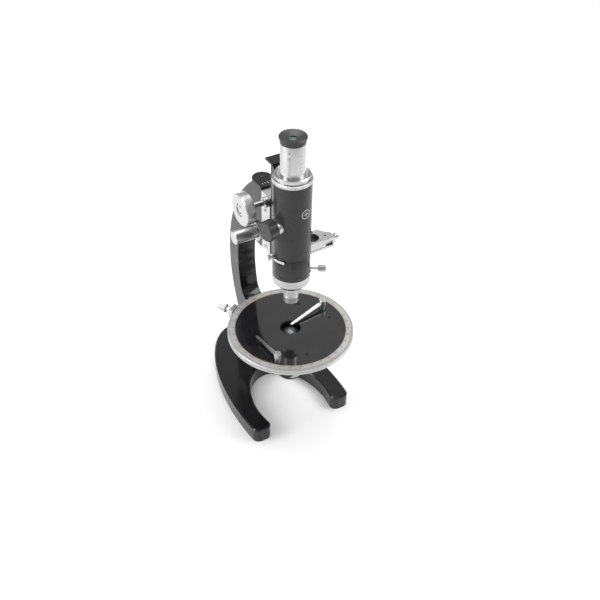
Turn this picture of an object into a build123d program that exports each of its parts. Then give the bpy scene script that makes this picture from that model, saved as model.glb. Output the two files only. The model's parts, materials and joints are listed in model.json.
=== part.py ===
from build123d import *
from math import cos, pi, radians, sin
import os

os.makedirs("parts", exist_ok=True)

# Monocular polarizing microscope, millimetres, +Z up, the user sits on the -Y side.
# The origin is on the table under the heel of the foot, on the plane of symmetry.

OPTICAL_Y = -100.0          # optical axis, parallel to Z
FOOT_HEIGHT = 18.0
FOOT_OUTER = (64.5, 143.0)  # semi-axes of the horseshoe's outside
FOOT_INNER = (43.0, 65.0)   # semi-axes of the gap
TOE_Y = OPTICAL_Y - 33.0

PIVOT_Y = -18.0
PIVOT_Z = 62.0
PIVOT_R = 5.0
LIMB_HALF = 11.0            # half the limb's width
CHEEK_GAP = 11.3
CHEEK_OUT = 17.0
RUN = 0.05                  # radial running clearance

STAGE_TOP = 124.0
PLATE_R = 61.2
RIM_R = 69.7
HUB_R = 30.0

TUBE_R = 20.0
TUBE_BORE = 18.0
TUBE_BOTTOM = 202.0
TUBE_SEAM = 229.0
TUBE_TOP = 315.0
DRAW_R = 12.5
EYEPIECE_R = 11.6
OBJECTIVE_R = 8.3

BLOCK_FRONT = OPTICAL_Y + 26.2
BLOCK_BACK = OPTICAL_Y + 44.0
PINION_Y = OPTICAL_Y + 31.0
PINION_Z = 275.0
GEAR_MODULE = 0.8
PINION_TEETH = 10
PINION_PITCH_R = GEAR_MODULE * PINION_TEETH / 2
FINE_Y = OPTICAL_Y + 53.0
FINE_Z = 226.0
MIRROR_Z = 69.0
BERTRAND_ANGLE = 189.0
BERTRAND_Z = 267.0

AXIS = Plane(origin=(0, OPTICAL_Y, 0))


def from_axis(forward):
    """Y coordinate of a point this far behind the optical axis."""
    return OPTICAL_Y + forward


def disc(plane, radius, length, bore=0.0, mode=Mode.ADD):
    """Round bar or ring that stands on a plane."""
    with BuildSketch(plane) as outline:
        Circle(radius)
        if bore > 0:
            Circle(bore, mode=Mode.SUBTRACT)
    extrude(outline.sketch, amount=length, mode=mode)


def cross_bar(y, z, radius, x_start, x_end, bore=0.0, mode=Mode.ADD):
    """Round bar along X."""
    with BuildSketch(Plane.YZ.offset(x_start)) as outline:
        with Locations((y, z)):
            Circle(radius)
            if bore > 0:
                Circle(bore, mode=Mode.SUBTRACT)
    extrude(outline.sketch, amount=x_end - x_start, mode=mode)


def block(x, y, z, mode=Mode.ADD):
    """Rectangular block from three pairs of limits."""
    with BuildSketch(Plane.XY.offset(z[0])) as outline:
        with Locations(((x[0] + x[1]) / 2, (y[0] + y[1]) / 2)):
            Rectangle(x[1] - x[0], y[1] - y[0])
    extrude(outline.sketch, amount=z[1] - z[0], mode=mode)


def radial(angle, distance, height):
    """Plane facing outwards, this far from the optical axis."""
    out = Vector(cos(radians(angle)), sin(radians(angle)), 0)
    return Plane(origin=Vector(0, OPTICAL_Y, height) + out * distance, z_dir=out)


def turned(points):
    """Body turned about the optical axis from a closed list of radius and height."""
    with BuildSketch(Plane.XZ.offset(-OPTICAL_Y)) as outline:
        with BuildLine():
            Polyline(*points, close=True)
        make_face()
    revolve(outline.sketch, axis=Axis((0, OPTICAL_Y, 0), (0, 0, 1)))


def save(builder, label):
    builder.part.label = label
    export_step(builder.part, "parts/" + label + ".step")


# ---------------------------------------------------------------- foot and pillar

with BuildPart() as foot:
    with BuildSketch(Plane.XY):
        with Locations((0, from_axis(5))):
            Ellipse(*FOOT_OUTER)
        with Locations((0, from_axis(-5))):
            Ellipse(*FOOT_INNER, mode=Mode.SUBTRACT)
        with Locations((0, TOE_Y - 100)):
            Rectangle(200, 200, mode=Mode.SUBTRACT)
    extrude(amount=FOOT_HEIGHT)
    fillet(foot.edges().filter_by(Axis.Z), radius=8)
    chamfer(foot.faces().sort_by(Axis.Z)[-1].edges(), length=1.6)
save(foot, "foot")

with BuildPart() as pillar:
    block((-CHEEK_OUT, CHEEK_OUT), (-38, 2), (FOOT_HEIGHT, 36))
    fillet(pillar.edges().filter_by(Axis.Z), radius=2)
    for side in (-1, 1):
        inner = side * CHEEK_GAP
        outer = side * CHEEK_OUT
        limits = (min(inner, outer), max(inner, outer))
        block(limits, (-36, 0), (36, PIVOT_Z))
        cross_bar(PIVOT_Y, PIVOT_Z, 18, limits[0], limits[1])
    cross_bar(PIVOT_Y, PIVOT_Z, PIVOT_R, -CHEEK_OUT, CHEEK_OUT, mode=Mode.SUBTRACT)
save(pillar, "pillar")

with BuildPart() as pivot_axle:
    cross_bar(PIVOT_Y, PIVOT_Z, PIVOT_R, -CHEEK_OUT, CHEEK_OUT)
save(pivot_axle, "pivot_axle")

for side, label in ((-1, "pivot_cap_left"), (1, "pivot_cap_right")):
    start = CHEEK_OUT if side > 0 else -CHEEK_OUT - 3.5
    with BuildPart() as pivot_cap:
        cross_bar(PIVOT_Y, PIVOT_Z, 10, start, start + 3.5)
        chamfer(pivot_cap.faces().sort_by(Axis.X)[-1 if side > 0 else 0].edges(), length=0.8)
        for offset in (-5.5, 5.5):
            cross_bar(PIVOT_Y, PIVOT_Z + offset, 1, start - 0.5, start + 4, mode=Mode.SUBTRACT)
    save(pivot_cap, label)

# ---------------------------------------------------------------- limb

with BuildPart() as arm:
    with BuildSketch(Plane.YZ.offset(-LIMB_HALF)):
        with BuildLine():
            ThreePointArc((from_axis(65), 282), (from_axis(125), 155), (from_axis(107), 81))
            Line((from_axis(107), 81), (from_axis(98), 62))
            ThreePointArc((from_axis(98), 62), (from_axis(82), 46), (from_axis(66), 62))
            Line((from_axis(66), 62), (from_axis(66), 96))
            Line((from_axis(66), 96), (from_axis(66), 106))
            Line((from_axis(66), 106), (from_axis(80), 106))
            ThreePointArc((from_axis(80), 106), (from_axis(92), 110.5), (from_axis(98), 123))
            ThreePointArc((from_axis(98), 123), (from_axis(102), 155), (from_axis(95.1), 200))
            ThreePointArc((from_axis(95.1), 200), (from_axis(88), 208.5), (from_axis(76), 210))
            Line((from_axis(76), 210), (from_axis(44.3), 210))
            Line((from_axis(44.3), 210), (from_axis(44.3), 282))
            Line((from_axis(44.3), 282), (from_axis(65), 282))
        make_face()
    extrude(amount=2 * LIMB_HALF)
    fillet(arm.edges().filter_by(lambda e: e.geom_type == GeomType.CIRCLE and e.radius > 150), radius=2.5)
    with BuildSketch(Plane.XY.offset(96)):
        with Locations((0, OPTICAL_Y)):
            Circle(34)
        with BuildLine():
            Polyline((-26, OPTICAL_Y), (-LIMB_HALF, from_axis(66)), (LIMB_HALF, from_axis(66)),
                     (26, OPTICAL_Y), close=True)
        make_face()
    extrude(amount=10)
    disc(AXIS.offset(95), 24, 12, mode=Mode.SUBTRACT)
    cross_bar(PIVOT_Y, PIVOT_Z, PIVOT_R + RUN, -LIMB_HALF, LIMB_HALF, mode=Mode.SUBTRACT)
    block((-5.06, 5.06), (from_axis(44), from_axis(48.3)), (208, 281), mode=Mode.SUBTRACT)
    cross_bar(FINE_Y, FINE_Z, 3 + RUN, -LIMB_HALF, 6, mode=Mode.SUBTRACT)
save(arm, "arm")

with BuildPart() as head_cap:
    with BuildSketch(Plane.XY.offset(282)):
        with Locations((0, from_axis(54.5))):
            Rectangle(2 * LIMB_HALF, 19)
        with Locations((0, from_axis(62))):
            Circle(LIMB_HALF)
    extrude(amount=2.5)
    chamfer(head_cap.faces().sort_by(Axis.Z)[-1].edges(), length=0.5)
save(head_cap, "head_cap")

with BuildPart() as fine_flange:
    cross_bar(FINE_Y, FINE_Z, 11, -13.6, -LIMB_HALF, bore=3 + RUN)
    with BuildSketch(Plane.YZ.offset(-14)):
        with Locations((FINE_Y, FINE_Z)):
            with PolarLocations(9.2, 4, start_angle=45):
                Circle(0.9)
    extrude(amount=2, mode=Mode.SUBTRACT)
save(fine_flange, "fine_flange")

with BuildPart() as fine_spindle:
    cross_bar(FINE_Y, FINE_Z, 3, -20, 5)
save(fine_spindle, "fine_spindle")

with BuildPart() as fine_knob:
    cross_bar(FINE_Y, FINE_Z, 7.5, -40, -14)
    chamfer(fine_knob.faces().sort_by(Axis.X)[0].edges(), length=0.7)
    cross_bar(FINE_Y, FINE_Z, 3, -20, -14, mode=Mode.SUBTRACT)
save(fine_knob, "fine_knob")

# ---------------------------------------------------------------- focusing slide

with BuildPart() as fine_slide:
    block((-LIMB_HALF, LIMB_HALF), (BLOCK_FRONT, BLOCK_BACK), (211, 281.5))
    block((-5, 5), (BLOCK_BACK, from_axis(48)), (214, 277))
    block((-8.06, 8.06), (BLOCK_FRONT, from_axis(28)), (211, 281.5), mode=Mode.SUBTRACT)
    cross_bar(PINION_Y, PINION_Z, 5.4, -4.3, 4.3, mode=Mode.SUBTRACT)
    cross_bar(PINION_Y, PINION_Z, 3 + RUN, -LIMB_HALF, LIMB_HALF, mode=Mode.SUBTRACT)
save(fine_slide, "fine_slide")

with BuildPart() as pinion_bearing:
    cross_bar(PINION_Y, PINION_Z, 5.5, -16, -LIMB_HALF, bore=3 + RUN)
    chamfer(pinion_bearing.faces().sort_by(Axis.X)[0].edges(), length=0.5)
save(pinion_bearing, "pinion_bearing")

with BuildPart() as pinion_cover:
    cross_bar(PINION_Y, PINION_Z, 6, LIMB_HALF, 13)
    chamfer(pinion_cover.faces().sort_by(Axis.X)[-1].edges(), length=0.5)
save(pinion_cover, "pinion_cover")

with BuildPart() as coarse_pinion:
    cross_bar(PINION_Y, PINION_Z, 3, -36, 10.8)
    with BuildSketch(Plane.YZ.offset(-4)):
        with Locations((PINION_Y, PINION_Z)):
            with PolarLocations(0, PINION_TEETH, start_angle=180):
                Polygon((2.6, -0.8), (PINION_PITCH_R + 0.75, -0.25), (PINION_PITCH_R + 0.75, 0.25),
                        (2.6, 0.8), align=None)
    extrude(amount=8)
save(coarse_pinion, "coarse_pinion")

with BuildPart() as coarse_knob:
    cross_bar(PINION_Y, PINION_Z, 17, -43, -32.5)
    cross_bar(PINION_Y, PINION_Z, 6, -32.5, -30)
    chamfer(coarse_knob.edges().filter_by(lambda e: e.geom_type == GeomType.CIRCLE and e.radius > 16), length=0.6)
    cross_bar(PINION_Y, PINION_Z, 7, -43, -42.2, mode=Mode.SUBTRACT)
    cross_bar(PINION_Y, PINION_Z, 3, -36, -30, mode=Mode.SUBTRACT)
    for offset in (-4, 4):
        cross_bar(PINION_Y, PINION_Z + offset, 1.1, -43, -40, mode=Mode.SUBTRACT)
save(coarse_knob, "coarse_knob")

with BuildPart() as carriage:
    block((-LIMB_HALF, LIMB_HALF), (from_axis(12), from_axis(24)), (214, 322))
    disc(AXIS.offset(213), TUBE_R, 110, mode=Mode.SUBTRACT)
    disc(AXIS.offset(TUBE_TOP - 0.2), TUBE_R + 0.5, 8, mode=Mode.SUBTRACT)
    block((-8, 8), (from_axis(24), from_axis(27.9)), (214, 322))
    block((-4.2, 4.2), (from_axis(27.7), from_axis(28)), (235, 312), mode=Mode.SUBTRACT)
    rack_pitch = pi * GEAR_MODULE
    pitch_line = PINION_Y - PINION_PITCH_R
    with BuildSketch(Plane.YZ.offset(-4.2)):
        for index in range(-14, 13):
            with Locations((pitch_line, PINION_Z + index * rack_pitch)):
                Polygon((0.72, -1.0), (0.72, 1.0), (-1.1, 0.45), (-1.1, -0.45), align=None)
    extrude(amount=8.4, mode=Mode.SUBTRACT)
    block((-LIMB_HALF, LIMB_HALF), (from_axis(20.6), from_axis(36)), (322, 324))
save(carriage, "carriage")

# ---------------------------------------------------------------- body tube

SLIDE_WIDTH = 21.0
SLIDE_Z = (228.5, 237.0)

with BuildPart() as tube_upper:
    disc(AXIS.offset(TUBE_SEAM), TUBE_R, TUBE_TOP - TUBE_SEAM, bore=TUBE_BORE)
    block((5, 25), (OPTICAL_Y - 10.9, OPTICAL_Y + 10.9), (220, 237.4), mode=Mode.SUBTRACT)
    disc(radial(BERTRAND_ANGLE, 10, BERTRAND_Z), 2.5 + RUN, 15, mode=Mode.SUBTRACT)
save(tube_upper, "tube_upper")

with BuildPart() as tube_lower:
    disc(AXIS.offset(TUBE_BOTTOM), TUBE_R, TUBE_SEAM - TUBE_BOTTOM - 0.3, bore=TUBE_BORE)
    disc(AXIS.offset(TUBE_BOTTOM), TUBE_BORE, 3, bore=9)
    disc(AXIS.offset(TUBE_SEAM - 4), TUBE_BORE, 4, bore=TUBE_BORE - 1.5)
    block((5, 25), (OPTICAL_Y - 10.9, OPTICAL_Y + 10.9), (224.7, 240), mode=Mode.SUBTRACT)
    disc(radial(329, 10, 207), 1.5, 15, mode=Mode.SUBTRACT)
save(tube_lower, "tube_lower")

with BuildPart() as collar_lower:
    turned([(DRAW_R + RUN, 296), (TUBE_BORE, 296), (TUBE_BORE, TUBE_TOP), (20.3, TUBE_TOP),
            (20.3, 318), (19.4, 318.4), (DRAW_R + RUN, 318.4)])
save(collar_lower, "collar_lower")

with BuildPart() as collar_upper:
    turned([(DRAW_R + RUN, 318.4), (17.6, 318.4), (17.6, 319), (18.4, 319.4), (18.4, 322.4),
            (17.6, 323.2), (15.4, 322), (DRAW_R + RUN, 322)])
save(collar_upper, "collar_upper")

with BuildPart() as drawtube:
    disc(AXIS.offset(288), DRAW_R, 68, bore=EYEPIECE_R + RUN)
    for height in (350, 345):
        disc(radial(225, 5, height), 0.6, 10, mode=Mode.SUBTRACT)
save(drawtube, "drawtube")

with BuildPart() as eyepiece:
    turned([(10.2, 322), (EYEPIECE_R, 322), (EYEPIECE_R, 356.3), (12.9, 356.3), (12.9, 360), (14, 361),
            (14, 362.4), (13.4, 363), (4.4, 360.6), (4.4, 357), (10.2, 355)])
save(eyepiece, "eyepiece")

with BuildPart() as eye_lens:
    turned([(0, 357.6), (4.4, 357.6), (4.4, 359.2), (2.4, 359.7), (0, 359.9)])
save(eye_lens, "eye_lens")

with BuildPart() as field_lens:
    turned([(0, 324), (10.2, 324), (10.2, 325.5), (5.5, 327.2), (0, 328)])
save(field_lens, "field_lens")

with BuildPart() as nosepiece_ring:
    turned([(OBJECTIVE_R - 0.3, 187), (14.6, 187), (19.4, 192.4), (20, 193.6), (20, TUBE_BOTTOM),
            (OBJECTIVE_R - 0.3, TUBE_BOTTOM)])
save(nosepiece_ring, "nosepiece_ring")

with BuildPart() as objective:
    turned([(3.2, 163), (5.2, 163), (OBJECTIVE_R, 164.4), (OBJECTIVE_R, 172), (7.9, 172.4),
            (7.9, 173), (OBJECTIVE_R, 173.4), (OBJECTIVE_R, 187), (OBJECTIVE_R - 0.3, 187),
            (OBJECTIVE_R - 0.3, 192), (6, 192), (6, 168), (3.2, 166)])
save(objective, "objective")

with BuildPart() as objective_lens:
    turned([(0, 163.4), (3.2, 163.4), (3.2, 165.6), (0, 165.6)])
save(objective_lens, "objective_lens")

with BuildPart() as centring_screw:
    disc(radial(329, 17, 207), 1.4, 12)
    disc(radial(329, 28, 207), 3.2, 8.5)
    chamfer(centring_screw.edges().filter_by(lambda e: e.geom_type == GeomType.CIRCLE and e.radius > 3), length=0.4)
save(centring_screw, "centring_screw")

with BuildPart() as prism_lever:
    with BuildSketch(AXIS.offset(226)):
        with BuildLine():
            CenterArc((0, 0), 22, 174, 46)
            Line((22 * cos(radians(220)), 22 * sin(radians(220))),
                 (20.4 * cos(radians(220)), 20.4 * sin(radians(220))))
            CenterArc((0, 0), 20.4, 174, 46)
            Line((20.4 * cos(radians(174)), 20.4 * sin(radians(174))),
                 (22 * cos(radians(174)), 22 * sin(radians(174))))
        make_face()
    extrude(amount=3)
    disc(radial(174, 20.8, 227.5), 1.6, 4)
    disc(radial(174, 23.6, 227.5), 3.1, 3.4)
save(prism_lever, "prism_lever")

# ---------------------------------------------------------------- analyser and Bertrand lens

with BuildPart() as analyzer_slide:
    with BuildSketch(Plane.XY.offset(SLIDE_Z[0])):
        with Locations((33, OPTICAL_Y)):
            Rectangle(27, SLIDE_WIDTH)
        with Locations((19.5, OPTICAL_Y)):
            Circle(SLIDE_WIDTH / 2)
        with Locations((24, OPTICAL_Y)):
            Circle(7.8, mode=Mode.SUBTRACT)
        with Locations((52, OPTICAL_Y + 15)):
            Circle(15.5, mode=Mode.SUBTRACT)
    extrude(amount=SLIDE_Z[1] - SLIDE_Z[0])
    block((35, 43.5), (OPTICAL_Y - 11, OPTICAL_Y - 7.5), (SLIDE_Z[0], 233.5), mode=Mode.SUBTRACT)
    for forward, across in ((29, 8.2), (38.5, -3)):
        with Locations((forward, OPTICAL_Y + across, SLIDE_Z[1])):
            Hole(radius=1.2, depth=3)
save(analyzer_slide, "analyzer_slide")

with BuildPart() as analyzer_filter:
    with BuildSketch(Plane.XY.offset(230)):
        with Locations((24, OPTICAL_Y)):
            Circle(7.8)
    extrude(amount=2.5)
save(analyzer_filter, "analyzer_filter")

with BuildPart() as analyzer_knob:
    with BuildSketch(Plane.YZ.offset(46.5)):
        with Locations((OPTICAL_Y - 4, 232.75)):
            Circle(1.6)
    extrude(amount=2.9)
    with BuildSketch(Plane.YZ.offset(48.9)):
        with Locations((OPTICAL_Y - 4, 232.75)):
            Circle(3.2)
    extrude(amount=4.5)
save(analyzer_knob, "analyzer_knob")

with BuildPart() as analyzer_guide:
    with BuildSketch(Plane.XY.offset(225)):
        with Locations((31.5, OPTICAL_Y)):
            Rectangle(29, SLIDE_WIDTH)
        with Locations((0, OPTICAL_Y)):
            Circle(TUBE_R, mode=Mode.SUBTRACT)
        with Locations((52, OPTICAL_Y + 15)):
            Circle(15.5, mode=Mode.SUBTRACT)
    extrude(amount=2.8)
save(analyzer_guide, "analyzer_guide")

with BuildPart() as bertrand_collar:
    disc(radial(BERTRAND_ANGLE, 10, BERTRAND_Z), 9, 13, bore=2.5 + RUN)
    disc(AXIS.offset(255), TUBE_R, 30, mode=Mode.SUBTRACT)
save(bertrand_collar, "bertrand_collar")

with BuildPart() as bertrand_knob:
    disc(radial(BERTRAND_ANGLE, 23.3, BERTRAND_Z), 10.5, 11.2)
    chamfer(bertrand_knob.edges().filter_by(GeomType.CIRCLE), length=0.7)
    disc(radial(BERTRAND_ANGLE, 12, BERTRAND_Z), 2.5, 12)
save(bertrand_knob, "bertrand_knob")

with BuildPart() as bertrand_carrier:
    disc(AXIS.offset(BERTRAND_Z - 1.8), 12, 3.6, bore=9)
    disc(radial(BERTRAND_ANGLE, 11, BERTRAND_Z), 2.5, 4, mode=Mode.SUBTRACT)
save(bertrand_carrier, "bertrand_carrier")

with BuildPart() as bertrand_lens:
    disc(AXIS.offset(BERTRAND_Z - 1), 9, 2)
save(bertrand_lens, "bertrand_lens")

# ---------------------------------------------------------------- stage

with BuildPart() as stage_base:
    turned([(HUB_R + RUN, 106), (44, 106), (44, 113.5), (PLATE_R - 0.5, 115.5), (PLATE_R - 0.5, 119.3),
            (HUB_R + RUN, 119.3)])
save(stage_base, "stage_base")

with BuildPart() as stage_disc:
    disc(AXIS.offset(119.7), PLATE_R, STAGE_TOP - 119.7)
    disc(AXIS.offset(108), HUB_R, 12, bore=24.5)
    disc(AXIS.offset(107), 11.5, 20, mode=Mode.SUBTRACT)
    with BuildSketch(AXIS.offset(STAGE_TOP)):
        with PolarLocations(42, 2, start_angle=47):
            Circle(1.5)
        with PolarLocations(47, 2, start_angle=-98, angular_range=180):
            Circle(1.3)
        with PolarLocations(45, 2, start_angle=-171, angular_range=-60):
            Circle(1.3)
    extrude(amount=-3, mode=Mode.SUBTRACT)
save(stage_disc, "stage_disc")

with BuildPart() as scale_ring:
    turned([(PLATE_R, 117.6), (69.2, 117.6), (RIM_R, 118.1), (RIM_R, 120.2), (69.1, 120.5),
            (69.1, 121), (RIM_R, 121.3), (RIM_R, 123.2), (69.1, STAGE_TOP), (PLATE_R, STAGE_TOP)])
save(scale_ring, "scale_ring")


def clip_frame(post, tip):
    """Plane that slopes down from the post to the tip of a stage clip."""
    start = Vector(post[0], from_axis(post[1]), STAGE_TOP + 6.6)
    end = Vector(tip[0], from_axis(tip[1]), STAGE_TOP + 1.2)
    along = (end - start).normalized()
    across = Vector(0, 0, 1).cross(along).normalized()
    return Plane(origin=start, x_dir=along, z_dir=along.cross(across)), (end - start).length


for side, post, tip in (("right", (49.2, 12.6), (2.2, 2.0)), ("left", (-38.9, -39.4), (-40.6, 3.5))):
    stand = Plane(origin=(post[0], from_axis(post[1]), STAGE_TOP))
    with BuildPart() as clip_post:
        disc(stand, 2, 10)
        disc(stand, 3.2, 3.2)
        disc(stand.offset(8.6), 4, 2.2)
        chamfer(clip_post.faces().sort_by(Axis.Z)[-1].edges(), length=0.4)
    save(clip_post, "clip_post_" + side)
    slope, reach = clip_frame(post, tip)
    with BuildPart() as clip_blade:
        with BuildSketch(slope):
            with BuildLine():
                Polyline((1, -2.4), (reach - 1, -1.5), (reach - 1, 1.5), (1, 2.4), close=True)
            make_face()
            with Locations((reach - 1, 0)):
                Circle(1.5)
        extrude(amount=1.1)
        disc(stand.offset(3.6), 4, 4.6)
        disc(stand.offset(3), 2 + RUN, 6, mode=Mode.SUBTRACT)
    save(clip_blade, "clip_blade_" + side)

CLAMP_ANGLE = 122.4
CLAMP_Z = 118.8

with BuildPart() as clamp_bracket:
    with BuildSketch(radial(CLAMP_ANGLE, 71, CLAMP_Z)):
        Rectangle(14, 9)
    extrude(amount=5)
    with BuildSketch(radial(CLAMP_ANGLE, 60, CLAMP_Z - 5.2)):
        Rectangle(14, 1.4)
    extrude(amount=16)
    disc(AXIS.offset(110), PLATE_R - 0.5, 10, mode=Mode.SUBTRACT)
    disc(radial(CLAMP_ANGLE, 65, CLAMP_Z), 2 + RUN, 15, mode=Mode.SUBTRACT)
save(clamp_bracket, "clamp_bracket")

with BuildPart() as clamp_screw:
    disc(radial(CLAMP_ANGLE, 70.0, CLAMP_Z), 2, 16)
    disc(radial(CLAMP_ANGLE, 76.3, CLAMP_Z), 3.4, 4)
    disc(radial(CLAMP_ANGLE, 82, CLAMP_Z), 5, 10)
    chamfer(clamp_screw.edges().filter_by(lambda e: e.geom_type == GeomType.CIRCLE and e.radius > 4), length=0.5)
save(clamp_screw, "clamp_screw")

# ---------------------------------------------------------------- substage and mirror

with BuildPart() as condenser_sleeve:
    disc(AXIS.offset(94), 24, 12, bore=18)
    disc(AXIS.offset(93), 26.5, 3, bore=18)
save(condenser_sleeve, "condenser_sleeve")

with BuildPart() as condenser:
    turned([(14 + RUN, 95), (18, 95), (18, 110), (9, 117.5), (6, 119), (4.6, 119), (4.6, 117),
            (9, 110), (14 + RUN, 106)])
save(condenser, "condenser")

with BuildPart() as condenser_lens:
    turned([(0, 117.2), (4.6, 117.2), (4.6, 119), (3, 119.9), (0, 120.4)])
save(condenser_lens, "condenser_lens")

with BuildPart() as polarizer_ring:
    disc(AXIS.offset(89.5), 19, 3.2, bore=12)
    disc(AXIS.offset(92), 14, 9, bore=12)
save(polarizer_ring, "polarizer_ring")

with BuildPart() as polarizer_filter:
    disc(AXIS.offset(91), 12, 2)
save(polarizer_filter, "polarizer_filter")

with BuildPart() as mirror_socket:
    block((-7, 7), (from_axis(45), from_axis(66)), (MIRROR_Z - 7, MIRROR_Z + 7))
    fillet(mirror_socket.edges().filter_by(Axis.Y), radius=3)
    with BuildSketch(Plane.XZ.offset(-from_axis(44))):
        with Locations((0, MIRROR_Z)):
            Circle(3 + RUN)
    extrude(amount=-12, mode=Mode.SUBTRACT)
save(mirror_socket, "mirror_socket")

with BuildPart() as mirror_fork:
    with BuildSketch(AXIS.offset(MIRROR_Z - 3)):
        Circle(24.5)
        Circle(21, mode=Mode.SUBTRACT)
        with Locations((0, -28)):
            Rectangle(60, 50, mode=Mode.SUBTRACT)
    extrude(amount=6)
    with BuildSketch(Plane.XZ.offset(-from_axis(23))):
        with Locations((0, MIRROR_Z)):
            Circle(3)
    extrude(amount=-31)
    for side in (-1, 1):
        cross_bar(OPTICAL_Y, MIRROR_Z, 1.5, min(side * 19.4, side * 24), max(side * 19.4, side * 24))
save(mirror_fork, "mirror_fork")

MIRROR_TILT = 40
TILTED = Plane(origin=(0, OPTICAL_Y, MIRROR_Z), x_dir=(1, 0, 0),
               z_dir=(0, -sin(radians(MIRROR_TILT)), cos(radians(MIRROR_TILT))))

with BuildPart() as mirror_cell:
    disc(TILTED.offset(-2.6), 18.4, 4.4)
    disc(TILTED.offset(0.6), 17.2, 2, mode=Mode.SUBTRACT)
    for side in (-1, 1):
        cross_bar(OPTICAL_Y, MIRROR_Z, 2.6, min(side * 17.4, side * 20.6), max(side * 17.4, side * 20.6))
    cross_bar(OPTICAL_Y, MIRROR_Z, 1.5 + RUN, -20.7, -19.3, mode=Mode.SUBTRACT)
    cross_bar(OPTICAL_Y, MIRROR_Z, 1.5 + RUN, 19.3, 20.7, mode=Mode.SUBTRACT)
save(mirror_cell, "mirror_cell")

with BuildPart() as mirror_glass:
    disc(TILTED.offset(0.6), 17.2, 1.0)
save(mirror_glass, "mirror_glass")
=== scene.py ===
import json
from math import cos, pi, radians, sin

import bmesh
import bpy
from mathutils import Matrix, Vector


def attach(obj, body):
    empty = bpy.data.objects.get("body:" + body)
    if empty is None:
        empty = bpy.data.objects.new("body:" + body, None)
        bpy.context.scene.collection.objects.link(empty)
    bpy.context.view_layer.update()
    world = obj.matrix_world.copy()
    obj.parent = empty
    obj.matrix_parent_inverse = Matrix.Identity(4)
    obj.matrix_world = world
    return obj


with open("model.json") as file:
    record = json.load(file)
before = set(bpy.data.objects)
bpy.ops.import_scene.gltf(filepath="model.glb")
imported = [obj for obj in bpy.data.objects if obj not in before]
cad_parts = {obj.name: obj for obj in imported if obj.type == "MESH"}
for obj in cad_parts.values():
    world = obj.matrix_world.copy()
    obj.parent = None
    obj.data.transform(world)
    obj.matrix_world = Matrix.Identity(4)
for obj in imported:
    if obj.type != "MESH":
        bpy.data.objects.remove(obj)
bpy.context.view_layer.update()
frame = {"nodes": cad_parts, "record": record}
nodes = frame["nodes"]
record = frame["record"]

# millimetres and degrees, in the frame's own axes
MM = 0.001
AXIS_Y = -100.0
STAGE_Z = 124.0
TUBE_R = 20.0
BERTRAND_ANGLE = 189
CENTRING_ANGLE = 329
CLAMP_ANGLE = 122.4
MARK_ANGLE = 283
MARK_Z = 284
UP = (0, 0, 1)
DOWN = (0, 0, -1)
RIGHT = (1, 0, 0)
LEFT = (-1, 0, 0)


# ------------------------------------------------------------------ materials

def node(tree, kind, **inputs):
    made = tree.nodes.new(kind)
    for key, value in inputs.items():
        made.inputs[key].default_value = value
    return made


def ramp(tree, source, low, high, start=0.35, end=0.65):
    """Colour ramp between two colours, driven by one output."""
    made = tree.nodes.new("ShaderNodeValToRGB")
    made.color_ramp.elements[0].position = start
    made.color_ramp.elements[0].color = (*low, 1)
    made.color_ramp.elements[1].position = end
    made.color_ramp.elements[1].color = (*high, 1)
    tree.links.new(source, made.inputs["Fac"])
    return made.outputs["Color"]


def grain(tree, scale, stretch=(1, 1, 1), detail=4.0):
    """Noise in object space, stretched for turned or brushed metal."""
    place = tree.nodes.new("ShaderNodeTexCoord")
    mapping = tree.nodes.new("ShaderNodeMapping")
    mapping.inputs["Scale"].default_value = stretch
    noise = node(tree, "ShaderNodeTexNoise", Scale=scale, Detail=detail, Roughness=0.6)
    tree.links.new(place.outputs["Object"], mapping.inputs["Vector"])
    tree.links.new(mapping.outputs["Vector"], noise.inputs["Vector"])
    return noise.outputs["Fac"]


def finish(name, low, high, rough, metallic=0.0, coat=0.0, stretch=(1, 1, 1), scale=60.0,
           fine=1400.0, bump=0.05, worn=None, wear=0.56, transmission=0.0, ior=1.5):
    """Principled material with mottled colour, uneven gloss, fine relief and worn edges."""
    made = bpy.data.materials.new(name)
    made.use_nodes = True
    tree = made.node_tree
    shader = tree.nodes["Principled BSDF"]
    shader.inputs["Metallic"].default_value = metallic
    shader.inputs["Coat Weight"].default_value = coat
    shader.inputs["Coat Roughness"].default_value = 0.04
    shader.inputs["Transmission Weight"].default_value = transmission
    shader.inputs["IOR"].default_value = ior
    broad = grain(tree, scale, stretch)
    small = grain(tree, fine, stretch, 2.0)
    colour = ramp(tree, broad, low, high)
    if worn is not None:
        edges = tree.nodes.new("ShaderNodeNewGeometry")
        mask = ramp(tree, edges.outputs["Pointiness"], (0, 0, 0), (1, 1, 1), wear, wear + 0.05)
        broken = tree.nodes.new("ShaderNodeMath")
        broken.operation = "MULTIPLY"
        tree.links.new(mask, broken.inputs[0])
        tree.links.new(small, broken.inputs[1])
        mix = tree.nodes.new("ShaderNodeMix")
        mix.data_type = "RGBA"
        mix.inputs["B"].default_value = (*worn, 1)
        tree.links.new(broken.outputs[0], mix.inputs["Factor"])
        tree.links.new(colour, mix.inputs["A"])
        colour = mix.outputs["Result"]
    tree.links.new(colour, shader.inputs["Base Color"])
    gloss = tree.nodes.new("ShaderNodeMapRange")
    gloss.inputs["From Min"].default_value = 0.3
    gloss.inputs["From Max"].default_value = 0.7
    gloss.inputs["To Min"].default_value = rough[0]
    gloss.inputs["To Max"].default_value = rough[1]
    tree.links.new(broad, gloss.inputs["Value"])
    tree.links.new(gloss.outputs["Result"], shader.inputs["Roughness"])
    relief = node(tree, "ShaderNodeBump", Strength=bump, Distance=0.0002)
    tree.links.new(small, relief.inputs["Height"])
    tree.links.new(relief.outputs["Normal"], shader.inputs["Normal"])
    return made


WORN_ENAMEL = (0.07, 0.07, 0.07)
NICKEL_DARK = (0.52, 0.52, 0.515)
NICKEL_LIGHT = (0.57, 0.57, 0.565)

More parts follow.
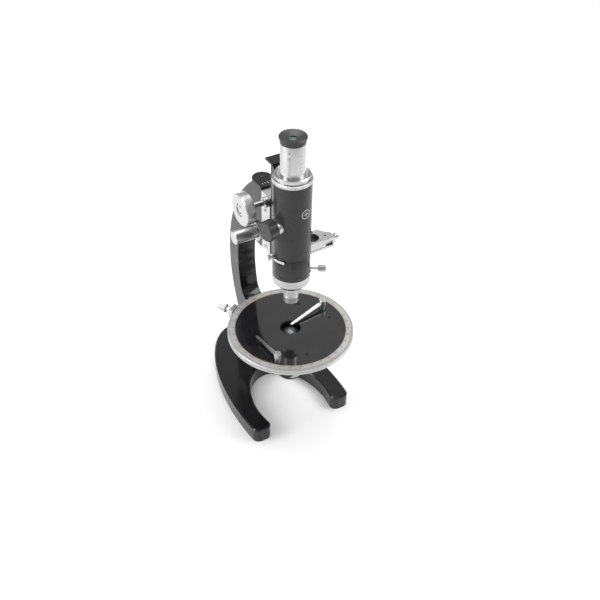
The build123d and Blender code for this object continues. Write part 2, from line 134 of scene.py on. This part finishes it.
enamel = finish("black_enamel", (0.007, 0.0075, 0.008), (0.009, 0.0095, 0.010), (0.13, 0.17),
                coat=0.08, scale=12, fine=1500, bump=0.006, worn=WORN_ENAMEL, ior=1.38)
# the body tube gets a darker, less glossy copy of the black enamel: painted shade that keeps the tube
# darker than the arm under the same lights
tube_enamel_painted_shade = finish("tube_enamel_painted_shade", (0.005, 0.0055, 0.006), (0.007, 0.0075, 0.008), (0.15, 0.19),
                     scale=12, fine=1500, bump=0.006, worn=WORN_ENAMEL, ior=1.3)
lacquer = finish("black_lacquer", (0.008, 0.008, 0.009), (0.014, 0.014, 0.015), (0.05, 0.11),
                 coat=0.5, scale=45, fine=900, bump=0.02)
fitting = finish("black_fitting", (0.014, 0.014, 0.015), (0.028, 0.028, 0.028), (0.32, 0.46),
                 scale=90, fine=1800, bump=0.12, worn=(0.09, 0.085, 0.08))
nickel = finish("nickel_plate", NICKEL_DARK, NICKEL_LIGHT, (0.26, 0.34), metallic=1.0, scale=22,
                fine=900, bump=0.03, worn=(0.42, 0.40, 0.36), wear=0.66)
turned = finish("nickel_turned", NICKEL_DARK, NICKEL_LIGHT, (0.26, 0.34), metallic=1.0,
                stretch=(1, 1, 0.15), scale=50, fine=700, bump=0.02)
silvered = finish("silvered_scale", (0.45, 0.455, 0.46), (0.53, 0.535, 0.54), (0.36, 0.48), metallic=0.75,
                  scale=60, fine=1600, bump=0.08, worn=(0.36, 0.33, 0.28))
brass = finish("brass_line", (0.30, 0.24, 0.15), (0.42, 0.34, 0.22), (0.3, 0.45), metallic=1.0)
ink = finish("scale_ink", (0.015, 0.015, 0.016), (0.04, 0.04, 0.04), (0.5, 0.7))
paint = finish("white_fill", (0.62, 0.62, 0.60), (0.80, 0.80, 0.78), (0.5, 0.7))
lens = finish("lens_glass", (0.80, 0.86, 0.88), (0.88, 0.93, 0.95), (0.01, 0.03),
              transmission=0.9, bump=0.0)
filter_glass = finish("filter_glass", (0.02, 0.022, 0.02), (0.035, 0.04, 0.035), (0.03, 0.08),
                      coat=0.5, bump=0.0)
silver_mirror = finish("mirror", (0.84, 0.85, 0.86), (0.90, 0.91, 0.92), (0.01, 0.04),
                       metallic=1.0, bump=0.0)

BY_SLOT = {
    "black_enamel": enamel, "black_lacquer": lacquer, "black_fitting": fitting, "nickel_plate": nickel,
    "silvered_scale": silvered, "lens_glass": lens, "filter_glass": filter_glass, "mirror": silver_mirror,
}

# each skin is a look and the record's material slot that it stands for
NICKEL = (nickel, "nickel_plate")
FITTING = (fitting, "black_fitting")
FITTING_ON_ENAMEL = (fitting, "black_enamel")
PAINT_ON_ENAMEL = (paint, "black_enamel")
INK_ON_ENAMEL = (ink, "black_enamel")
INK_ON_NICKEL = (ink, "nickel_plate")
INK_ON_SCALE = (ink, "silvered_scale")
BRASS_ON_SCALE = (brass, "silvered_scale")

TURNED = ("drawtube", "collar_lower", "collar_upper", "objective", "nosepiece_ring")
ROUNDED = {
    "pillar": 0.9, "arm": 1.2, "carriage": 0.35, "fine_slide": 0.5, "analyzer_slide": 0.4,
    "analyzer_guide": 0.3, "clip_blade_left": 0.25, "clip_blade_right": 0.25, "clamp_bracket": 0.5,
    "mirror_fork": 0.6, "head_cap": 0.3, "drawtube": 0.2,
}

for part in record["subparts"]:
    piece = nodes[part["node"]]
    look = BY_SLOT[part["material_slot"]]
    if part["node"] in TURNED:
        look = turned
    # both halves of the body tube take the darker enamel copy, which is painted shade
    elif part["node"] in ("tube_upper", "tube_lower"):
        look = tube_enamel_painted_shade
    piece.data.materials.clear()
    piece.data.materials.append(look)
    if part["node"] in ROUNDED:
        weld = piece.modifiers.new("weld", "WELD")
        weld.merge_threshold = 1e-6
        bevel = piece.modifiers.new("round", "BEVEL")
        bevel.width = ROUNDED[part["node"]] * MM
        bevel.segments = 3
        bevel.limit_method = "ANGLE"
        bevel.angle_limit = radians(38)
        bevel.harden_normals = True


# ------------------------------------------------------------------ detail pieces

def place_piece(name, mesh, body):
    """Object of a finished mesh, riding on a body."""
    piece = bpy.data.objects.new(name, mesh)
    bpy.context.scene.collection.objects.link(piece)
    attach(piece, body)


def add(name, verts, faces, skin, body, smooth=False):
    """Mesh piece from millimetre points, riding on a body."""
    look, slot = skin
    mesh = bpy.data.meshes.new(name)
    mesh.from_pydata([Vector(v) * MM for v in verts], [], faces)
    made = bmesh.new()
    made.from_mesh(mesh)
    bmesh.ops.recalc_face_normals(made, faces=made.faces)
    made.to_mesh(mesh)
    made.free()
    mesh.materials.append(look)
    for face in mesh.polygons:
        face.use_smooth = smooth
    place_piece(name, mesh, body)


def turn_to(origin, direction):
    """Matrix that stands local Z along a direction from an origin."""
    turn = Vector(direction).to_track_quat("Z", "Y").to_matrix().to_4x4()
    return Matrix.Translation(Vector(origin)) @ turn


def out(angle):
    """Direction that points away from the optical axis."""
    return Vector((cos(radians(angle)), sin(radians(angle)), 0))


def around(angle, distance, height):
    """Point at a distance from the optical axis."""
    return Vector((0, AXIS_Y, height)) + out(angle) * distance


def about_axis(angle, height):
    """Matrix on the optical axis at a height, its local X turned to an angle."""
    return Matrix.Translation((0, AXIS_Y, height)) @ Matrix.Rotation(radians(angle), 4, "Z")


def knurl(name, origin, direction, radii, length, count, skin, body):
    """Ring with straight ribs round its outside; radii are its bore, rib root and rib crest."""
    inner, root, crest = radii
    trim_in = 0.35
    place = turn_to(origin, direction)
    profile = []
    for i in range(count):
        for part, radius in ((0.0, root), (0.3, crest), (0.6, crest), (0.9, root)):
            angle = 2 * pi * (i + part) / count
            profile.append((cos(angle), sin(angle), radius))
    n = len(profile)
    verts = []
    for z, trim in ((0, trim_in), (trim_in, 0), (length - trim_in, 0), (length, trim_in)):
        verts += [place @ Vector((c * (r - trim), s * (r - trim), z)) for c, s, r in profile]
    for z in (length, 0):
        verts += [place @ Vector((c * inner, s * inner, z)) for c, s, r in profile]
    faces = []
    for ring in range(6):
        a, b = ring * n, ((ring + 1) % 6) * n
        faces += [(a + i, a + (i + 1) % n, b + (i + 1) % n, b + i) for i in range(n)]
    add(name, verts, faces, skin, body)


def boxes(name, places, skin, body):
    """Many small blocks in one piece: (matrix, size) pairs, each block centred on its matrix."""
    corner_loops = ((0, 1, 3, 2), (4, 6, 7, 5), (0, 4, 5, 1), (2, 3, 7, 6), (0, 2, 6, 4), (1, 5, 7, 3))
    verts, faces = [], []
    for place, size in places:
        base = len(verts)
        for x in (-0.5, 0.5):
            for y in (-0.5, 0.5):
                for z in (-0.5, 0.5):
                    verts.append(place @ Vector((x * size[0], y * size[1], z * size[2])))
        faces += [tuple(base + i for i in loop) for loop in corner_loops]
    add(name, verts, faces, skin, body)


def lathe(name, profile, origin, direction, skin, body, steps=96):
    """Closed turned piece from (radius, height) points."""
    place = turn_to(origin, direction)
    verts = []
    for i in range(steps):
        angle = 2 * pi * i / steps
        verts += [place @ Vector((r * cos(angle), r * sin(angle), z)) for r, z in profile]
    n = len(profile)
    faces = []
    for i in range(steps):
        a, b = i * n, ((i + 1) % steps) * n
        faces += [(a + j, a + (j + 1) % n, b + (j + 1) % n, b + j) for j in range(n)]
    add(name, verts, faces, skin, body, smooth=True)


def band(name, inner, outer, low, high, height, skin, body, steps=96):
    """Square-edged ring round the optical axis, from low to high above a height."""
    profile = [(inner, low), (outer, low), (outer, high), (inner, high)]
    lathe(name, profile, (0, AXIS_Y, height), UP, skin, body, steps)


def screw(name, origin, direction, radius, skin, body, slot_angle=0.0):
    """Slotted cheese-head screw with a domed edge."""
    lathe(name, [(0.02, -0.3), (radius, -0.3), (radius, 0.45), (radius - 0.3, 0.75), (0.02, 0.8)],
          origin, direction, skin, body, 32)
    place = turn_to(origin, direction) @ Matrix.Rotation(slot_angle, 4, "Z")
    boxes(name + "_slot", [(place @ Matrix.Translation((0, 0, 0.72)), (2 * radius - 0.3, 0.4, 0.22))],
          (ink, skin[1]), body)


# ribs on the knobs, the nosepiece, the polarizer and the upper collar

knurl("coarse_knurl", (-42.3, -69, 275), RIGHT, (15.6, 16.95, 17.35), 9.2, 110, NICKEL, "coarse_knob")
knurl("nosepiece_knurl", (0, AXIS_Y, 193.8), UP, (18.5, 19.95, 20.3), 7.6, 150, NICKEL, "tube")
knurl("centring_knurl", around(CENTRING_ANGLE, 28.5, 207), out(CENTRING_ANGLE), (2.2, 3.2, 3.5), 7.4, 30,
      NICKEL, "centring_screw")
knurl("clamp_knurl", around(CLAMP_ANGLE, 82.6, 118.8), out(CLAMP_ANGLE), (3.5, 4.95, 5.3), 8.2, 44,
      NICKEL, "clamp_screw")
knurl("analyzer_knurl", (49.5, AXIS_Y - 4, 232.75), RIGHT, (2.2, 3.15, 3.5), 3.3, 26, NICKEL, "analyzer")
knurl("bertrand_ribs", around(BERTRAND_ANGLE, 24.4, 267), out(BERTRAND_ANGLE), (9.2, 10.45, 10.8), 9.0, 60,
      FITTING, "bertrand")
knurl("polarizer_ribs", (0, AXIS_Y, 89.9), UP, (17.6, 18.95, 19.3), 2.4, 120, FITTING, "polarizer")
knurl("collar_ribs", (0, AXIS_Y, 315.3), UP, (19.2, 20.28, 20.45), 2.2, 180, NICKEL, "tube")


# marks on the stage: one line a degree, figures every ten degrees, brass lines and a vernier

MARK_OUTER_R = 68.9
FIGURE_R = 63.6
MARK_LIFT = 0.02


def stage_graduations():
    marks = []
    for degree in range(360):
        if degree % 10 == 0:
            reach = 3.4
        elif degree % 5 == 0:
            reach = 2.7
        else:
            reach = 1.8
        width = 0.28 if degree % 5 else 0.36
        middle = Matrix.Translation((MARK_OUTER_R - reach / 2, 0, 0))
        marks.append((about_axis(degree, STAGE_Z + MARK_LIFT) @ middle, (reach, width, 0.08)))
    boxes("stage_graduations", marks, INK_ON_SCALE, "stage")


def figure_mesh(degree):
    """The figure for one angle, standing at its place on the ring, in metres."""
    curve = bpy.data.curves.new("figure", "FONT")
    curve.body = str(degree)
    curve.size = 2.3 * MM
    curve.align_x = "CENTER"
    curve.align_y = "CENTER"
    curve.extrude = 0.03 * MM
    holder = bpy.data.objects.new("figure", curve)
    bpy.context.scene.collection.objects.link(holder)
    bpy.context.view_layer.update()
    shape = bpy.data.meshes.new_from_object(holder.evaluated_get(bpy.context.evaluated_depsgraph_get()))
    centre = Matrix.Translation(Vector((0, AXIS_Y, STAGE_Z + MARK_LIFT)) * MM)
    turn = centre @ Matrix.Rotation(radians(degree + 90), 4, "Z")
    shape.transform(turn @ Matrix.Translation((0, -FIGURE_R * MM, 0)))
    bpy.data.objects.remove(holder)
    return shape


def stage_figures():
    joined = bmesh.new()
    for degree in range(0, 360, 10):
        joined.from_mesh(figure_mesh(degree))
    mesh = bpy.data.meshes.new("stage_figures")
    joined.to_mesh(mesh)
    joined.free()
    mesh.materials.append(ink)
    place_piece("stage_figures", mesh, "stage")


def vernier():
    lines = []
    for step in range(-5, 6):
        reach = 1.6 if step % 5 else 2.4
        place = about_axis(CLAMP_ANGLE + step * 0.9, 123.35)
        lines.append((place @ Matrix.Translation((72.4, 0, 0)), (reach, 0.18, 0.08)))
    boxes("vernier_lines", lines, INK_ON_NICKEL, "arm")


stage_graduations()
stage_figures()
band("stage_brass_line", 61.35, 61.7, 0, 0.06, STAGE_Z, BRASS_ON_SCALE, "stage", 180)
band("rim_brass_line", 69.0, 69.3, -0.2, 0.2, 120.75, BRASS_ON_SCALE, "stage", 180)
vernier()


# marks on the upper collar, the drawtube and the objective

def collar_index():
    lines = []
    for angle in (268, 300):
        place = about_axis(angle, 0)
        lines.append((place @ Matrix.Translation((18.42, 0, 320.9)), (0.1, 0.35, 2.4)))
        lines.append((place @ Matrix.Translation((20.32, 0, 316.5)), (0.1, 0.35, 2.2)))
    boxes("collar_index", lines, INK_ON_NICKEL, "tube")


def drawtube_scale():
    lines = []
    for step in range(5):
        width = 5.0 if step == 2 else 2.6
        place = about_axis(281, 0)
        lines.append((place @ Matrix.Translation((12.5, 0, 330 + step * 4)), (0.08, width, 0.22)))
    boxes("drawtube_scale", lines, INK_ON_NICKEL, "drawtube")


collar_index()
drawtube_scale()
screw("collar_screw", around(247, 20.3, 316.6), out(247), 1.1, NICKEL, "tube")
for index, height in enumerate((169.4, 178.5, 184.2)):
    band("objective_line_%d" % index, 8.1, 8.36, 0, 0.35, height, INK_ON_NICKEL, "tube")


# seam, screws, plain roundel and the compensator slot's painted shade on the body tube

def roundel_ring(steps=48):
    verts, faces = [], []
    for i in range(steps):
        turn = 2 * pi * i / steps
        for radius in (4.6, 5.1):
            for depth in (TUBE_R - 0.1, TUBE_R + 0.06):
                across = MARK_ANGLE + radius * cos(turn) / TUBE_R * 180 / pi
                verts.append(around(across, depth, MARK_Z + radius * sin(turn)))
    for i in range(steps):
        a, b = 4 * i, 4 * ((i + 1) % steps)
        for near, far in ((0, 1), (1, 3), (3, 2), (2, 0)):
            faces.append((a + near, b + near, b + far, a + far))
    add("tube_roundel", verts, faces, PAINT_ON_ENAMEL, "tube")


def roundel_cross():
    place = about_axis(MARK_ANGLE, MARK_Z)
    upright = (place @ Matrix.Translation((TUBE_R - 0.02, 0, 0)), (0.2, 0.4, 6.4))
    level = (place @ Matrix.Translation((TUBE_R - 0.1, 0, 0)), (0.2, 6.0, 0.4))
    boxes("tube_roundel_cross", [upright, level], PAINT_ON_ENAMEL, "tube")


def compensator_slot(start=300, sweep=22, steps=12, low=207.4, high=208.9):
    """A dark strip of painted shade that stands for the slot's shaded opening; the tube isn't pierced."""
    inner, outer = TUBE_R - 0.3, TUBE_R + 0.03
    verts, faces = [], []
    for i in range(steps + 1):
        angle = start + sweep * i / steps
        for depth, height in ((inner, low), (outer, low), (outer, high), (inner, high)):
            verts.append(around(angle, depth, height))
    for i in range(steps):
        a, b = 4 * i, 4 * i + 4
        faces += [(a + j, a + (j + 1) % 4, b + (j + 1) % 4, b + j) for j in range(4)]
    last = 4 * steps
    faces += [(0, 1, 2, 3), (last, last + 1, last + 2, last + 3)]
    add("tube_slot_painted_shade", verts, faces, INK_ON_ENAMEL, "tube")


band("tube_seam", 19.4, 19.9, 0, 0.3, 228.7, INK_ON_ENAMEL, "tube")
for index, angle in enumerate((207, 262, 318)):
    screw("tube_screw_%d" % index, around(angle, TUBE_R, 206), out(angle), 1.25, FITTING_ON_ENAMEL, "tube",
          0.5)
screw("tube_screw_3", around(200, TUBE_R, 221), out(200), 1.25, FITTING_ON_ENAMEL, "tube", 1.1)
roundel_ring()
roundel_cross()
compensator_slot()


# fixing screws of the focus block, the stage and the head, and the index on the head

BLOCK_X = 11
BLOCK_Y = -64.5
BLOCK_SCREW_R = 1.5
for name, side, height, slot_angle in (("top", LEFT, 268, 0.7), ("mid", LEFT, 262, 2.0),
                                       ("low", LEFT, 217, 1.2), ("right", RIGHT, 262, 1.0)):
    screw("block_screw_" + name, (side[0] * BLOCK_X, BLOCK_Y, height), side, BLOCK_SCREW_R, NICKEL,
          "fine_block", slot_angle)
for index, angle in enumerate((30, 150, 270)):
    screw("stage_screw_%d" % index, around(angle, 39, 106), DOWN, 2.4, FITTING, "arm", 0.3)
screw("cap_screw", (0, -38, 284.5), UP, 1.8, FITTING_ON_ENAMEL, "arm", 0.6)
boxes("cap_index", [(Matrix.Translation((-6 + 3 * i, -50, 284.52)), (0.3, 4.5 if i == 2 else 3, 0.06))
                    for i in range(5)], PAINT_ON_ENAMEL, "arm")


# ------------------------------------------------------------------ floor, light and camera

# half the floor's width, in metres
FLOOR = 60

floor_mesh = bpy.data.meshes.new("floor")
corners = [(-FLOOR, -FLOOR, 0), (FLOOR, -FLOOR, 0), (FLOOR, FLOOR, 0), (-FLOOR, FLOOR, 0)]
floor_mesh.from_pydata(corners, [], [(0, 1, 2, 3)])
floor = bpy.data.objects.new("floor", floor_mesh)
bpy.context.scene.collection.objects.link(floor)
floor.data.materials.append(finish("floor_white", (0.90, 0.90, 0.90), (0.93, 0.93, 0.93), (0.7, 0.8),
                                   scale=3, fine=60, bump=0.0))

world = bpy.data.worlds.new("studio")
world.use_nodes = True
sky = world.node_tree
place = sky.nodes.new("ShaderNodeTexCoord")
height = sky.nodes.new("ShaderNodeSeparateXYZ")
sky.links.new(place.outputs["Generated"], height.inputs["Vector"])
shade = ramp(sky, height.outputs["Z"], (0.36, 0.36, 0.365), (0.95, 0.95, 0.95), 0.02, 0.9)
sky.links.new(shade, sky.nodes["Background"].inputs["Color"])
sky.nodes["Background"].inputs["Strength"].default_value = 0.8
bpy.context.scene.world = world


def softbox(name, place, target, width, height, power):
    """Rectangular area light that faces a target."""
    light = bpy.data.lights.new(name, "AREA")
    light.shape = "RECTANGLE"
    light.size = width
    light.size_y = height
    light.energy = power
    holder = bpy.data.objects.new(name, light)
    holder.location = place
    holder.rotation_euler = (Vector(target) - Vector(place)).to_track_quat("-Z", "Y").to_euler()
    bpy.context.scene.collection.objects.link(holder)


# the middle of the microscope, where the lights point
CENTRE = (0, -0.1, 0.15)
SOFTBOX_POWER = 16
softbox("key", (1.1, -0.6, 1.5), CENTRE, 0.9, 0.9, SOFTBOX_POWER)
softbox("left", (-1.5, 0.2, 0.8), CENTRE, 0.7, 1.2, SOFTBOX_POWER)
softbox("top", (0.1, 0.5, 1.8), CENTRE, 1.2, 1.2, SOFTBOX_POWER)

ROLL = 1.3
eye = Vector((-0.3826, -0.7458, 0.7799))
ahead = Vector((0.4026, 0.6596, -0.6347)).normalized()
camera = bpy.data.cameras.new("camera")
camera.lens = 54
camera.sensor_width = 36
camera.clip_start = 0.01
viewer = bpy.data.objects.new("camera", camera)
turn = ahead.to_track_quat("-Z", "Y").to_matrix().to_4x4()
viewer.matrix_world = Matrix.Translation(eye) @ turn @ Matrix.Rotation(radians(ROLL), 4, "Z")
bpy.context.scene.collection.objects.link(viewer)
bpy.context.scene.camera = viewer
bpy.context.scene.view_settings.view_transform = "Standard"
